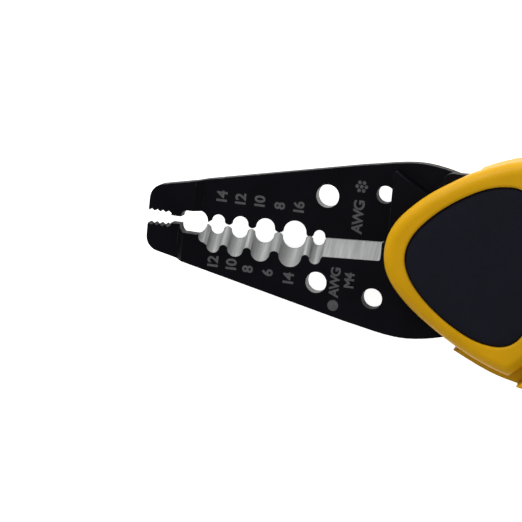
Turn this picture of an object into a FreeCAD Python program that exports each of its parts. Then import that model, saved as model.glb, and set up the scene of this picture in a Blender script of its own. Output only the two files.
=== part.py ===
"""Wire stripper, cutter and crimp-nosed plier: two stamped blades on one pivot, with moulded two-shot handles.

Frame: +X runs from the nose to the handle ends, +Y across the tool, +Z up out of the face it lies on.
The origin is on the pivot's axis, on the flat of the rear thumb pad. Everything is in millimetres.
Each half is drawn once, closed, with the blades' mating plane at Z 0. The front half takes the drawn
place, the rear half is turned over about X, and both are opened by the rest angle.
"""

import FreeCAD, Part
import Sketcher
import math
import os
from FreeCAD import Placement, Rotation, Vector

SIZES = [
    ("nose_reach", 58.8),
    ("handle_end", 125.0),
    ("grip_half", 8.0),
    ("rest_open_deg", 0.8),
    ("blade_thickness", 2.98),
    ("blade_gap", 0.04),
    ("jaw_slope_deg", 13.06),
    ("jog_front_setback", 7.2),
    ("jog_rear_setback", 9.9),
    ("jog_run", 1.4),
    ("tooth_count", 4),
    ("tooth_pitch", 1.17),
    ("tooth_depth", 0.4),
    ("tooth_setback", 0.45),
    ("land_length", 2.0),
    ("jaw_gap", 0.02),
    ("oval_depth", 1.5),
    ("notch1_share", 0.7577),
    ("notch2_share", 0.6803),
    ("notch3_share", 0.5927),
    ("notch4_share", 0.4898),
    ("notch5_share", 0.4048),
    ("notch1_dia", 2.6),
    ("notch2_dia", 3.2),
    ("notch3_dia", 3.86),
    ("notch4_dia", 4.64),
    ("notch5_dia", 2.3),
    ("tip_rise", 0.48),
    ("cutter_rise", 1.04),
    ("bevel_run", 3.4),
    ("bevel_end", 10.75),
    ("shoulder", 9.7),
    ("loop_share", 0.3929),
    ("loop_drop", 8.15),
    ("loop_front_dia", 4.2),
    ("loop_rear_dia", 4.6),
    ("shear_back", 11.7),
    ("shear_drop", 10.04),
    ("shear_front_dia", 4.1),
    ("shear_rear_dia", 3.5),
    ("pivot_dia", 6.4),
    ("running_gap", 0.05),
    ("tang_gap", 0.05),
    ("cover_gap", 0.05),
    ("cover_sweep", 27.0),
    ("sweep_gap", 2.6),
    ("shoulder_drop", 1.15),
    ("neck_radius", 18.9),
    ("neck_gap", 0.35),
    ("edge_round", 2.2),
    ("cavity_radius", 8.0),
    ("cavity_depth", 2.75),
    ("pad_depth", 1.4),
    ("pad_gap", 0.1),
    ("pad_sweep", 22.7),
    ("inlay_depth", 1.2),
    ("inlay_inset", 4.1),
    ("strip_half", 3.6),
    ("strip_depth", 1.5),
    ("strip_proud", 0.3),
    ("washer_radius", 6.5),
    ("washer_thickness", 0.7),
    ("head_radius", 6.2),
    ("head_height", 1.6),
    ("nut_flats", 11.1),
    ("spring_x", 36.0),
    ("spring_radius", 3.5),
    ("spring_wire", 0.9),
    ("spring_turns", 8),
    ("spring_end_gap", 0.15),
    ("seat_bore", 5.0),
    ("seat_depth", 5.0),
    ("seat_base", 1.0),
    ("peg_radius", 2.5),
    ("peg_height", 3.5),
]

NOTCHES = 5


def make_sheet(doc):
    """The driving sizes, one row each, with the name as the cell's alias."""
    sheet = doc.addObject("Spreadsheet::Sheet", "Sizes")
    for row, (alias, value) in enumerate(SIZES, start=1):
        sheet.set("A%d" % row, alias)
        sheet.set("B%d" % row, str(value))
        sheet.setAlias("B%d" % row, alias)
    doc.recompute()
    return sheet


class Cells:
    """Reads a size from the sheet by its alias."""

    def __init__(self, sheet):
        self.sheet = sheet

    def __getattr__(self, alias):
        return float(self.sheet.get(alias))


# ---------------------------------------------------------------- small geometry helpers


def body_plane(body, role):
    for feature in body.Origin.OriginFeatures:
        if feature.Role == role:
            return feature
    raise ValueError(role)


def new_body(doc, label):
    body = doc.addObject("PartDesign::Body", label)
    body.Label = label
    return body


def new_sketch(body, name, role="XY_Plane", height=None):
    """A sketch on one of the body's origin planes, lifted along its normal by the expression height."""
    sketch = body.newObject("Sketcher::SketchObject", name)
    sketch.AttachmentSupport = [(body_plane(body, role), "")]
    sketch.MapMode = "FlatFace"
    if height is not None:
        sketch.setExpression("AttachmentOffset.Base.z", height)
    return sketch


def draw_line(sketch, start, end):
    sketch.addGeometry(Part.LineSegment(Vector(*start, 0), Vector(*end, 0)), False)


def draw_arc(sketch, start, middle, end):
    arc = Part.Arc(Vector(*start, 0), Vector(*middle, 0), Vector(*end, 0))
    sketch.addGeometry(arc, False)


def draw_spline(sketch, points):
    curve = Part.BSplineCurve()
    curve.interpolate([Vector(x, y, 0) for x, y in points])
    sketch.addGeometry(curve, False)


def draw_polyline(sketch, points):
    for start, end in zip(points, points[1:]):
        draw_line(sketch, start, end)


def draw_circle(sketch, x, y, radius, radius_cell):
    """A circle whose radius is a constraint bound to the sheet."""
    index = sketch.addGeometry(Part.Circle(Vector(x, y, 0), Vector(0, 0, 1), radius), False)
    number = sketch.addConstraint(Sketcher.Constraint("Radius", index, radius))
    sketch.setExpression("Constraints[%d]" % number, radius_cell)


def beside(points, offset):
    """The points moved sideways by offset, to the left of the way they run."""
    moved = []
    for i, (x, y) in enumerate(points):
        before = points[max(i - 1, 0)]
        after = points[min(i + 1, len(points) - 1)]
        dx = after[0] - before[0]
        dy = after[1] - before[1]
        length = math.hypot(dx, dy)
        moved.append((x - offset * dy / length, y + offset * dx / length))
    return moved


def polar(radius, degrees):
    angle = math.radians(degrees)
    return (radius * math.cos(angle), radius * math.sin(angle))


def add_pad(body, name, sketch, length, midplane=False):
    pad = body.newObject("PartDesign::Pad", name)
    pad.Profile = sketch
    pad.setExpression("Length", length)
    pad.Midplane = midplane
    body.Document.recompute()
    return pad


def add_pocket(body, name, sketch, length, midplane=False, reverse=False):
    """A pocket that must take something away."""
    before = body.Tip.Shape.Volume
    pocket = body.newObject("PartDesign::Pocket", name)
    pocket.Profile = sketch
    pocket.setExpression("Length", length)
    pocket.Midplane = midplane
    pocket.Reversed = reverse
    body.Document.recompute()
    if not pocket.Shape.Volume < before - 0.01:
        raise RuntimeError("%s cuts nothing" % name)
    return pocket


def edges_at_height(shape, height):
    """The names of the edges that lie flat at one height."""
    names = []
    for number, edge in enumerate(shape.Edges, start=1):
        box = edge.BoundBox
        if abs(box.ZMin - height) < 1e-4 and abs(box.ZMax - height) < 1e-4:
            names.append("Edge%d" % number)
    return names


def round_edges(body, name, height):
    """Rounds the moulding's outer edge at one height."""
    moulding = body.Tip
    rounding = body.newObject("PartDesign::Fillet", name)
    rounding.Base = (moulding, edges_at_height(moulding.Shape, height))
    rounding.setExpression("Radius", "Sizes.edge_round")
    body.Document.recompute()


# ---------------------------------------------------------------- outlines shared by the pieces


def along_handle(c, x):
    """A place along the handle, stretched with the handle's length."""
    start = c.cover_sweep
    if x <= start:
        return x
    return start + (x - start) * (c.handle_end - start) / 98.0


def handle_points(c, points):
    return [(along_handle(c, x), y) for x, y in points]


def handle_outer(c, drop=0.0):
    """The handle's outer edge, from the neck's tip to the handle's end, with its shoulder lowered by drop."""
    shape = [
        (9.7, 19.8 - 0.83 * drop), (14.9, 21.7 - drop), (20.0, 22.8 - drop), (27.0, 24.3 - 0.83 * drop),
        (37.0, 25.9 - 0.5 * drop), (50.0, 27.0), (68.0, 27.0), (88.0, 25.2), (108.0, 20.85), (121.4, 15.9),
    ]
    tip = polar(c.neck_radius + 0.01, 72.3 - 3.4 * drop)
    return [tip] + handle_points(c, shape)


def handle_inner(c):
    """The handle's inner edge, from the handle's end back to the neck."""
    shape = [
        (119.0, 6.3), (106.0, 7.4), (88.0, 9.3), (68.0, 9.6), (50.0, 8.1),
        (37.0, 6.3), (27.5, 5.2), (17.5, 3.6),
    ]
    return handle_points(c, shape)


def tang_upper(c):
    """The blade's tang inside the handle, outer side, from the hub out."""
    shape = [
        (2.0, 16.35), (8.0, 16.7), (18.0, 18.6), (30.0, 20.6), (42.0, 21.8),
        (60.0, 22.2), (84.0, 20.9), (108.0, 17.6),
    ]
    return handle_points(c, shape)


def tang_lower(c):
    """The blade's tang, inner side, from its end back to the hub."""
    shape = [
        (108.0, 12.0), (84.0, 14.2), (60.0, 14.9), (42.0, 14.2), (33.0, 12.6),
        (27.0, 9.5), (21.5, 5.0), (18.0, 0.5), (14.5, -4.0),
    ]
    return handle_points(c, shape)


def tang_end(c):
    return (along_handle(c, 110.8), 14.7)


def notch_centre(c, number):
    return -c.nose_reach * getattr(c, "notch%d_share" % number)


def notch_radius(c, number):
    return getattr(c, "notch%d_dia" % number) / 2


def first_tip(c):
    """Where the first tooth beside the oval opening has its tip."""
    return notch_centre(c, 1) - notch_radius(c, 1) - 0.65


# ---------------------------------------------------------------- blades


def draw_blade_outline(c, sketch):
    """The stamped outline, seen from the outer face, with the cutting side up."""
    nose = -c.nose_reach
    top = c.cutter_rise + 0.16
    slope = math.tan(math.radians(c.jaw_slope_deg))
    corner = (nose + 2.6, -15.15 + slope * (-17.0 - nose - 2.6))
    start = (nose, -2 * c.tooth_setback)
    teeth = [start]
    for i in range(int(c.tooth_count)):
        x = nose + 0.1 + i * c.tooth_pitch
        teeth.append((x, -c.tooth_setback))
        teeth.append((x + c.tooth_pitch / 2, -c.tooth_setback - c.tooth_depth))
    land = nose + 0.1 + c.tooth_count * c.tooth_pitch
    oval = land + c.land_length
    teeth.append((land, -c.tooth_setback))
    teeth.append((land, -c.jaw_gap))
    teeth.append((oval, -c.jaw_gap))
    draw_polyline(sketch, teeth)
    tip = first_tip(c)
    deep = -c.oval_depth
    run = tip - oval
    entry = oval + 0.29 * run
    leave = tip - 0.326 * run
    draw_arc(sketch, (oval, -c.jaw_gap), (oval + 0.0725 * run, deep * 0.7), (entry, deep * 0.95))
    draw_line(sketch, (entry, deep * 0.95), (leave, deep))
    draw_arc(sketch, (leave, deep), (tip - 0.136 * run, deep * 0.6), (tip - 0.25, 0.25))
    draw_polyline(sketch, [
        (tip - 0.25, 0.25),
        (tip - 0.1, top),
        (-c.shoulder, top),
        (-c.shoulder, 15.0),
    ])
    draw_arc(sketch, (-c.shoulder, 15.0), (-c.shoulder + 0.22, 15.5), (-c.shoulder + 0.75, 15.35))
    draw_polyline(sketch, [(-c.shoulder + 0.75, 15.35), (-6.8, 14.0), (-3.0, 11.85)])
    draw_arc(sketch, (-3.0, 11.85), (-1.95, 11.85), (-1.15, 12.6))
    draw_line(sketch, (-1.15, 12.6), (0.0, 15.0))
    upper = tang_upper(c)
    draw_arc(sketch, (0.0, 15.0), (0.75, 16.0), upper[0])
    draw_spline(sketch, upper)
    lower = tang_lower(c)
    draw_arc(sketch, upper[-1], tang_end(c), lower[0])
    hub = [(12.5, -9.5), (8.0, -13.7), (2.8, -15.9)]
    draw_spline(sketch, lower + hub)
    draw_spline(sketch, [hub[-1], (-1.35, -16.8), (-5.0, -17.1), (-9.2, -16.7), (-17.0, -15.15)])
    draw_line(sketch, (-17.0, -15.15), corner)
    draw_arc(sketch, corner, (nose + 0.75, corner[1] + 1.0), (nose, corner[1] + 3.1))
    draw_line(sketch, (nose, corner[1] + 3.1), start)


def draw_edge_profile(c, sketch):
    """The region ground away above the cutting edge: tooth tips, round notches and the straight cutter."""
    high = c.bevel_run + 3.0
    left = notch_centre(c, 1) - notch_radius(c, 1) - 1.85
    tip = first_tip(c)
    draw_polyline(sketch, [(left, high), (left, 1.7)])
    draw_arc(sketch, (left, 1.7), (left + 0.3, 0.85), (tip, c.tip_rise))
    at = (tip, c.tip_rise)
    for number in range(1, NOTCHES + 1):
        x = notch_centre(c, number)
        radius = notch_radius(c, number)
        if number == 1:
            draw_line(sketch, at, (x - radius, 0.0))
        else:
            draw_arc(sketch, at, ((at[0] + x - radius) / 2, c.tip_rise), (x - radius, 0.0))
        draw_arc(sketch, (x - radius, 0.0), (x, -radius), (x + radius, 0.0))
        at = (x + radius, 0.0)
    cutter = (at[0] + 0.35, c.tip_rise + 0.07)
    end = (-c.bevel_end - 0.5, c.cutter_rise)
    draw_polyline(sketch, [at, cutter, end])
    draw_arc(sketch, end, (-c.bevel_end - 0.15, c.cutter_rise + 0.15), (-c.bevel_end, c.cutter_rise + 0.5))
    draw_polyline(sketch, [(-c.bevel_end, c.cutter_rise + 0.5), (-c.bevel_end, high), (left, high)])


def make_blade(doc, c, label, jog_cell, loop_cell, shear_cell):
    """A blade: joggled strip, stamped outline, ground bevel, and its bores."""
    body = new_body(doc, label)
    jog = c.nose_reach - getattr(c, jog_cell)
    inner = c.blade_gap / 2
    outer = inner + c.blade_thickness
    half = c.blade_thickness / 2
    low = -jog - c.jog_run / 2
    high = -jog + c.jog_run / 2
    far = c.handle_end
    side = new_sketch(body, "StripSide", "XZ_Plane")
    draw_polyline(side, [
        (-c.nose_reach - 1, -half), (low, -half), (high, inner), (far, inner), (far, outer),
        (high, outer), (low, half), (-c.nose_reach - 1, half), (-c.nose_reach - 1, -half),
    ])
    add_pad(body, "Strip", side, "8 * Sizes.grip_half", midplane=True)
    outline = new_sketch(body, "Outline")
    wide = 5 * c.grip_half
    frame = [(-c.nose_reach - 3, -wide), (far + 2, -wide), (far + 2, wide), (-c.nose_reach - 3, wide)]
    draw_polyline(outline, frame + frame[:1])
    draw_blade_outline(c, outline)
    add_pocket(body, "Stamping", outline, "4 * Sizes.blade_thickness", midplane=True)
    profile = new_sketch(body, "CuttingEdge")
    draw_edge_profile(c, profile)
    before = body.Tip.Shape.Volume
    bevel = body.newObject("PartDesign::Pocket", "Bevel")
    bevel.Profile = profile
    bevel.UseCustomVector = True
    bevel.Direction = Vector(0, -c.bevel_run, c.blade_thickness)
    bevel.AlongSketchNormal = True
    bevel.setExpression("Length", "Sizes.blade_thickness + 2 * Sizes.blade_gap")
    doc.recompute()
    if not bevel.Shape.Volume < before - 10:
        raise RuntimeError("the bevel cuts nothing")
    bores = new_sketch(body, "Bores")
    draw_circle(bores, 0, 0, c.pivot_dia / 2 + c.running_gap, "Sizes.pivot_dia / 2 + Sizes.running_gap")
    loop = getattr(c, loop_cell) / 2
    draw_circle(bores, -c.nose_reach * c.loop_share, -c.loop_drop, loop, "Sizes.%s / 2" % loop_cell)
    shear = getattr(c, shear_cell) / 2
    draw_circle(bores, -c.shear_back, -c.shear_drop, shear, "Sizes.%s / 2" % shear_cell)
    add_pocket(body, "BoreCut", bores, "4 * Sizes.blade_thickness", midplane=True)
    return body


# ---------------------------------------------------------------- grips and their soft parts


def draw_handle(c, sketch, drop):
    outer = handle_outer(c, drop)
    inner = handle_inner(c)
    draw_spline(sketch, outer)
    draw_arc(sketch, outer[-1], (c.handle_end, 11.4), inner[0])
    draw_spline(sketch, inner)
    draw_polyline(sketch, [inner[-1], (10.0, 9.0), outer[0]])


def draw_cover(c, sketch):
    """The shield over the pivot. Its right side is an arc about the pivot, so the other handle slides past."""
    corner = polar(c.cover_sweep, -51.6)
    inside = polar(c.cover_sweep, 16.0)
    side = [
        corner, (11.6, -19.4), (6.65, -17.05), (3.1, -14.95), (-1.0, -12.25), (-4.4, -9.55),
        (-7.1, -6.75), (-9.0, -3.65), (-9.7, 0.0), (-9.15, 3.7), (-7.4, 6.95), (-4.9, 9.7),
        (-2.1, 12.1), (2.0, 14.85), (4.7, 16.5), (7.5, 17.8), (11.0, 17.6),
    ]
    draw_spline(sketch, side)
    draw_line(sketch, side[-1], inside)
    draw_arc(sketch, inside, polar(c.cover_sweep, -18.0), corner)


def draw_thumb_pad(c, sketch, inset):
    """The pick-shaped pad, drawn inset from the cover's rim."""
    radius = c.pad_sweep - inset
    upper = [
        (-5.4 + inset, 0.0), (-4.55 + inset, 3.5), (-1.75, 7.35 - inset), (2.1, 10.75 - inset),
        (5.9, 13.2 - inset), (9.9, 15.0 - inset), (12.9, 15.55 - inset),
    ]
    lower = [(x, -y) for x, y in reversed(upper)]
    draw_spline(sketch, lower[:-1] + upper)
    turn = polar(radius, 34.0)
    bend = (16.9 - inset / 2, 14.75 - inset / 2)
    draw_arc(sketch, upper[-1], bend, turn)
    draw_arc(sketch, turn, (radius, 0.0), (turn[0], -turn[1]))
    draw_arc(sketch, (turn[0], -turn[1]), (bend[0], -bend[1]), lower[0])


def draw_tang_slot(c, sketch):
    upper = beside(tang_upper(c), c.tang_gap)
    lower = beside(tang_lower(c), c.tang_gap)
    end = tang_end(c)
    draw_spline(sketch, upper)
    draw_arc(sketch, upper[-1], (end[0] + c.tang_gap, end[1]), lower[0])
    draw_spline(sketch, lower)
    draw_line(sketch, lower[-1], upper[0])


def draw_inlay(c, sketch, inset):
    """The long soft inlay on a handle's face."""
    outer = handle_outer(c)[6:10]
    inner = handle_inner(c)[1:5]
    upper = beside(outer, -c.inlay_inset - inset)
    lower = beside(inner, -c.inlay_inset - inset)
    draw_spline(sketch, upper)
    end_x = along_handle(c, 109.4) - inset
    draw_arc(sketch, upper[-1], (end_x, (upper[-1][1] + lower[0][1]) / 2), lower[0])
    draw_spline(sketch, lower)
    start_x = along_handle(c, 45.0) + inset
    draw_arc(sketch, lower[-1], (start_x, (upper[0][1] + lower[-1][1]) / 2), upper[0])


def draw_strip(c, sketch, inset):
    """The soft strip let into a handle's outer edge."""
    edge = handle_outer(c)[6:10]
    outside = beside(edge, c.strip_proud)
    inside = list(reversed(beside(edge, -c.strip_depth + inset)))
    if inset > 0:
        outside = [(outside[0][0] + inset, outside[0][1])] + outside[1:-1] + [
            (outside[-1][0] - inset, outside[-1][1] + 0.3 * inset)
        ]
    draw_spline(sketch, outside)
    draw_line(sketch, outside[-1], inside[0])
    draw_spline(sketch, inside)
    draw_line(sketch, inside[-1], outside[0])


def make_grip(doc, c, label, drop):
    """A hard moulding: pivot cover, neck and handle in one, with the recesses for its soft parts."""
    body = new_body(doc, label)
    handle = new_sketch(body, "HandleOutline", height="-Sizes.grip_half")
    draw_handle(c, handle, drop)
    add_pad(body, "Handle", handle, "2 * Sizes.grip_half")
    sweep = new_sketch(body, "OtherCoverSweep", height="-Sizes.blade_thickness + Sizes.neck_gap")
    radius = c.cover_sweep + c.sweep_gap
    draw_circle(sweep, 0, 0, radius, "Sizes.cover_sweep + Sizes.sweep_gap")
    add_pocket(body, "CoverRecess", sweep, "Sizes.grip_half")
    round_edges(body, "LowRound", -c.grip_half)
    hub = new_sketch(body, "HubSweep", height="Sizes.blade_thickness + Sizes.cover_gap")
    draw_circle(hub, 0, 0, c.neck_radius, "Sizes.neck_radius")
    add_pocket(body, "HubRecess", hub, "2 * Sizes.grip_half")
    cover = new_sketch(body, "CoverOutline", height="Sizes.blade_thickness + Sizes.cover_gap")
    draw_cover(c, cover)
    add_pad(body, "Cover", cover, "Sizes.grip_half - Sizes.blade_thickness - Sizes.cover_gap")
    round_edges(body, "TopRound", c.grip_half)
    slot = new_sketch(body, "TangSlot", height="Sizes.blade_thickness + 3 * Sizes.cover_gap")
    draw_tang_slot(c, slot)
    add_pocket(body, "TangCut", slot, "Sizes.blade_thickness + 4 * Sizes.cover_gap")
    cavity = new_sketch(body, "HeadRoom", height="Sizes.blade_thickness + Sizes.cavity_depth")
    draw_circle(cavity, 0, 0, c.cavity_radius, "Sizes.cavity_radius")
    add_pocket(body, "HeadCavity", cavity, "Sizes.cavity_depth + Sizes.blade_thickness")
    pad = new_sketch(body, "PadSeat", height="Sizes.grip_half")
    draw_thumb_pad(c, pad, 0.0)
    add_pocket(body, "PadRecess", pad, "Sizes.pad_depth")
    front = new_sketch(body, "FrontInlaySeat", height="Sizes.grip_half")
    draw_inlay(c, front, 0.0)
    add_pocket(body, "FrontInlayRecess", front, "Sizes.inlay_depth")
    back = new_sketch(body, "BackInlaySeat", height="-Sizes.grip_half + Sizes.inlay_depth")
    draw_inlay(c, back, 0.0)
    add_pocket(body, "BackInlayRecess", back, "Sizes.inlay_depth")
    strip = new_sketch(body, "StripSeat", height="Sizes.strip_half")
    draw_strip(c, strip, 0.0)
    add_pocket(body, "StripRecess", strip, "2 * Sizes.strip_half")
    seat = new_sketch(body, "SpringSeat", "XZ_Plane", "-%s" % seat_floor_expression())
    draw_circle(seat, c.spring_x, 0, c.seat_bore, "Sizes.seat_bore")
    add_pocket(body, "SpringBore", seat, "2 * Sizes.seat_depth", reverse=True)
    return body


def seat_floor(c):
    """How far the floor of the spring's bore lies from the closed centre line."""
    return 6.2 + c.seat_depth


def seat_floor_expression():
    return "(6.2 + Sizes.seat_depth)"


def make_thumb_pad(doc, c, label):
    body = new_body(doc, label)
    sketch = new_sketch(body, "PadOutline", height="Sizes.grip_half - Sizes.pad_depth")
    draw_thumb_pad(c, sketch, c.pad_gap)
    add_pad(body, "Pad", sketch, "Sizes.pad_depth")
    return body


def make_inlay(doc, c, label, on_front):
    body = new_body(doc, label)
    height = "Sizes.grip_half - Sizes.inlay_depth" if on_front else "-Sizes.grip_half"
    sketch = new_sketch(body, "InlayOutline", height=height)
    draw_inlay(c, sketch, c.pad_gap)
    add_pad(body, "Inlay", sketch, "Sizes.inlay_depth")
    return body


def make_strip(doc, c, label):
    body = new_body(doc, label)
    sketch = new_sketch(body, "StripOutline", height="-Sizes.strip_half + Sizes.pad_gap")
    draw_strip(c, sketch, c.pad_gap)
    add_pad(body, "Strip", sketch, "2 * Sizes.strip_half - 2 * Sizes.pad_gap")
    return body


# ---------------------------------------------------------------- pivot hardware and return spring


def make_turned(doc, label, points):
    """A piece turned about Z from its half section."""
    body = new_body(doc, label)
    sketch = new_sketch(body, "HalfSection", "XZ_Plane")
    draw_polyline(sketch, points + points[:1])
    turned = body.newObject("PartDesign::Revolution", "Turned")
    turned.Profile = sketch
    turned.ReferenceAxis = (sketch, ["V_Axis"])
    turned.Angle = 360
    doc.recompute()
    return body


def make_bolt(doc, c):
    """The pivot: a shaft with a chamfered head."""
    radius = c.pivot_dia / 2
    outer = c.blade_gap / 2 + c.blade_thickness
    seat = outer + c.washer_thickness + 2 * c.running_gap
    top = seat + c.head_height
    tail = -seat - c.head_height - 0.1
    return make_turned(doc, "pivot_bolt", [
        (0.0, tail), (radius - 0.4, tail), (radius, tail + 0.4), (radius, seat),
        (c.head_radius, seat), (c.head_radius, top - 0.5), (c.head_radius - 0.5, top), (0.0, top),
    ])


def make_spring_washer(doc, c):
    """A conical washer that presses the blades together."""
    bore = c.pivot_dia / 2 + c.running_gap
    base = c.blade_gap / 2 + c.blade_thickness + c.running_gap
    rise = 0.4 * c.washer_thickness
    top = base + c.washer_thickness
    return make_turned(doc, "spring_washer", [
        (bore, base + rise), (c.washer_radius, base), (c.washer_radius, top - rise), (bore, top),
    ])


def make_pivot_washer(doc):
    """The flat washer under the nut, cut from two cylinders."""
    disc = doc.addObject("Part::Cylinder", "WasherDisc")
    disc.setExpression("Radius", "Sizes.washer_radius")
    disc.setExpression("Height", "Sizes.washer_thickness")
    bore = doc.addObject("Part::Cylinder", "WasherBore")
    bore.setExpression("Radius", "Sizes.pivot_dia / 2 + Sizes.running_gap")
    bore.setExpression("Height", "Sizes.washer_thickness")
    washer = doc.addObject("Part::Cut", "pivot_washer")
    washer.Base = disc
    washer.Tool = bore
    washer.Label = "pivot_washer"
    return washer


def make_nut(doc, c):
    """The hexagon nut on the pivot's tail."""
    body = new_body(doc, "pivot_nut")
    sketch = new_sketch(body, "Hexagon")
    corners = [polar(c.nut_flats / math.sqrt(3), 60 * i) for i in range(6)]
    draw_polyline(sketch, corners + corners[:1])
    bore = c.pivot_dia / 2 + c.running_gap
    draw_circle(sketch, 0, 0, bore, "Sizes.pivot_dia / 2 + Sizes.running_gap")
    add_pad(body, "Nut", sketch, "Sizes.head_height")
    return body


def make_spring_seat(doc, c, label):
    """The disc and peg that carry one end of the return spring."""
    body = new_body(doc, label)
    base = new_sketch(body, "SeatDisc", "XZ_Plane", "-%s + 0.02" % seat_floor_expression())
    draw_circle(base, c.spring_x, 0, c.seat_bore - 0.1, "Sizes.seat_bore - 0.1")
    add_pad(body, "Disc", base, "Sizes.seat_base")
    peg = new_sketch(body, "SeatPeg", "XZ_Plane", "-%s + 0.02" % seat_floor_expression())
    draw_circle(peg, c.spring_x, 0, c.peg_radius, "Sizes.peg_radius")
    add_pad(body, "Peg", peg, "Sizes.seat_base + Sizes.peg_height")
    return body


def spring_half_length(c):
    """Half the spring's length between the two seats, measured along Y at the rest pose."""
    turn = math.radians(c.rest_open_deg)
    face = seat_floor(c) - 0.02 - c.seat_base
    return c.spring_x * math.sin(turn) + face * math.cos(turn) - c.spring_end_gap


def spring_axis_x(c):
    turn = math.radians(c.rest_open_deg)
    return c.spring_x * math.cos(turn) - (seat_floor(c) - c.seat_base) * math.sin(turn)


def make_return_spring(doc, c):
    """The coil spring: a round wire carried along a helix between the two seats."""
    body = new_body(doc, "return_spring")
    wire = new_sketch(body, "WireSection", "XZ_Plane")
    draw_circle(wire, c.spring_radius, 0, c.spring_wire / 2, "Sizes.spring_wire / 2")
    length = 2 * spring_half_length(c) - c.spring_wire
    coil = body.newObject("PartDesign::AdditiveHelix", "Coil")
    coil.Profile = wire
    coil.ReferenceAxis = (wire, ["V_Axis"])
    coil.Mode = "pitch-height-angle"
    coil.Pitch = length / c.spring_turns
    coil.Height = length
    doc.recompute()
    return body


# ---------------------------------------------------------------- placing, checking and writing


def place(obj, *placements):
    result = Placement()
    for step in placements:
        result = result.multiply(step)
    obj.Placement = result


def check(obj):
    """Stops the build on a failed or broken shape."""
    if "Invalid" in obj.State or "Error" in obj.State:
        raise RuntimeError("%s failed: %s" % (obj.Label, obj.State))


def main():
    doc = FreeCAD.newDocument("WireStripper")
    c = Cells(make_sheet(doc))
    lift = Placement(Vector(0, 0, c.grip_half), Rotation())
    turn_over = Placement(Vector(), Rotation(Vector(1, 0, 0), 180))
    open_front = Placement(Vector(), Rotation(Vector(0, 0, 1), c.rest_open_deg))
    open_rear = Placement(Vector(), Rotation(Vector(0, 0, 1), -c.rest_open_deg))
    front = [
        make_blade(doc, c, "front_blade", "jog_front_setback", "loop_front_dia", "shear_front_dia"),
        make_grip(doc, c, "front_grip", c.shoulder_drop),
        make_thumb_pad(doc, c, "front_thumb_pad"),
        make_inlay(doc, c, "upper_front_inlay", True),
        make_inlay(doc, c, "upper_back_inlay", False),
        make_strip(doc, c, "upper_palm_strip"),
        make_spring_seat(doc, c, "upper_spring_seat"),
    ]
    rear = [
        make_blade(doc, c, "rear_blade", "jog_rear_setback", "loop_rear_dia", "shear_rear_dia"),
        make_grip(doc, c, "rear_grip", 0.0),
        make_thumb_pad(doc, c, "rear_thumb_pad"),
        make_inlay(doc, c, "lower_back_inlay", True),
        make_inlay(doc, c, "lower_front_inlay", False),
        make_strip(doc, c, "lower_palm_strip"),
        make_spring_seat(doc, c, "lower_spring_seat"),
    ]
    for piece in front:
        place(piece, lift, open_front)
    for piece in rear:
        place(piece, lift, open_rear, turn_over)
    bolt = make_bolt(doc, c)
    cone = make_spring_washer(doc, c)
    washer = make_pivot_washer(doc)
    nut = make_nut(doc, c)
    coil = make_return_spring(doc, c)
    outer = c.blade_gap / 2 + c.blade_thickness
    under = -outer - c.running_gap - c.washer_thickness
    place(bolt, lift)
    place(cone, lift)
    place(washer, lift, Placement(Vector(0, 0, under), Rotation()))
    place(nut, lift, Placement(Vector(0, 0, under - c.running_gap - c.head_height), Rotation()))
    half = spring_half_length(c) - c.spring_wire / 2
    stand = Placement(Vector(spring_axis_x(c), half, 0), Rotation(Vector(1, 0, 0), 90))
    place(coil, lift, stand)
    doc.recompute()
    pieces = front + rear + [bolt, cone, washer, nut, coil]
    for obj in doc.Objects:
        check(obj)
    for piece in pieces:
        if piece.Shape.isNull() or not piece.Shape.isValid():
            raise RuntimeError("%s has a bad shape" % piece.Label)
    os.makedirs("parts", exist_ok=True)
    for piece in pieces:
        piece.Shape.exportStep("parts/%s.step" % piece.Label)
        box = piece.Shape.BoundBox
        print("%s volume %.1f solids %d box %s" % (piece.Label, piece.Shape.Volume, len(piece.Shape.Solids), box))


main()
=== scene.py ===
"""Looks of a wire stripper: two black-oxide blades on one pivot, yellow moulded handles, dark soft parts.

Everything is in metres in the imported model's frame: +X from the nose to the handle ends, +Y across the
tool, +Z up out of the table. Pieces are drawn in a half's own closed frame, then laid in place: the front
half is opened by the rest angle, and the rear half is the same half turned over about X.
"""

import math

import bpy
from mathutils import Matrix, Vector


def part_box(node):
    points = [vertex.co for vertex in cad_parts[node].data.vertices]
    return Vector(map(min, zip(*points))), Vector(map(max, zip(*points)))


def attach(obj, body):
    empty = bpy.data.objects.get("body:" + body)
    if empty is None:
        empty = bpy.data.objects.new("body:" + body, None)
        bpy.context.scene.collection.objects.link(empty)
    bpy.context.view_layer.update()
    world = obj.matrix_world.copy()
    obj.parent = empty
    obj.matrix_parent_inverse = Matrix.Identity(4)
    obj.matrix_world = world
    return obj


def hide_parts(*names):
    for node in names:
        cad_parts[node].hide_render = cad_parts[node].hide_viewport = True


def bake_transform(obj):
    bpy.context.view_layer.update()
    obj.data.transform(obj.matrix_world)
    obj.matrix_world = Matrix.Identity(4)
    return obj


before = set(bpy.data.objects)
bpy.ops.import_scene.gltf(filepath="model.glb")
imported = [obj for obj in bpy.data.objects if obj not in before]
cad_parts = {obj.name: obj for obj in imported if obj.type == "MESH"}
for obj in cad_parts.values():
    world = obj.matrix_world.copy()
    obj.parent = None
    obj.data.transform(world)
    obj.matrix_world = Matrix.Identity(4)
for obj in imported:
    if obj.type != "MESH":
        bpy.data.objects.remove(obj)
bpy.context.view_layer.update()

bl_info = {
    "name": "Wire stripper looks",
    "version": (1, 0, 0),
    "blender": (4, 5, 0),
    "location": "View3D > Sidebar > Wire Stripper",
    "description": "Builds the finishes, soft parts, spring and markings of a wire stripper",
    "category": "Object",
}

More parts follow.
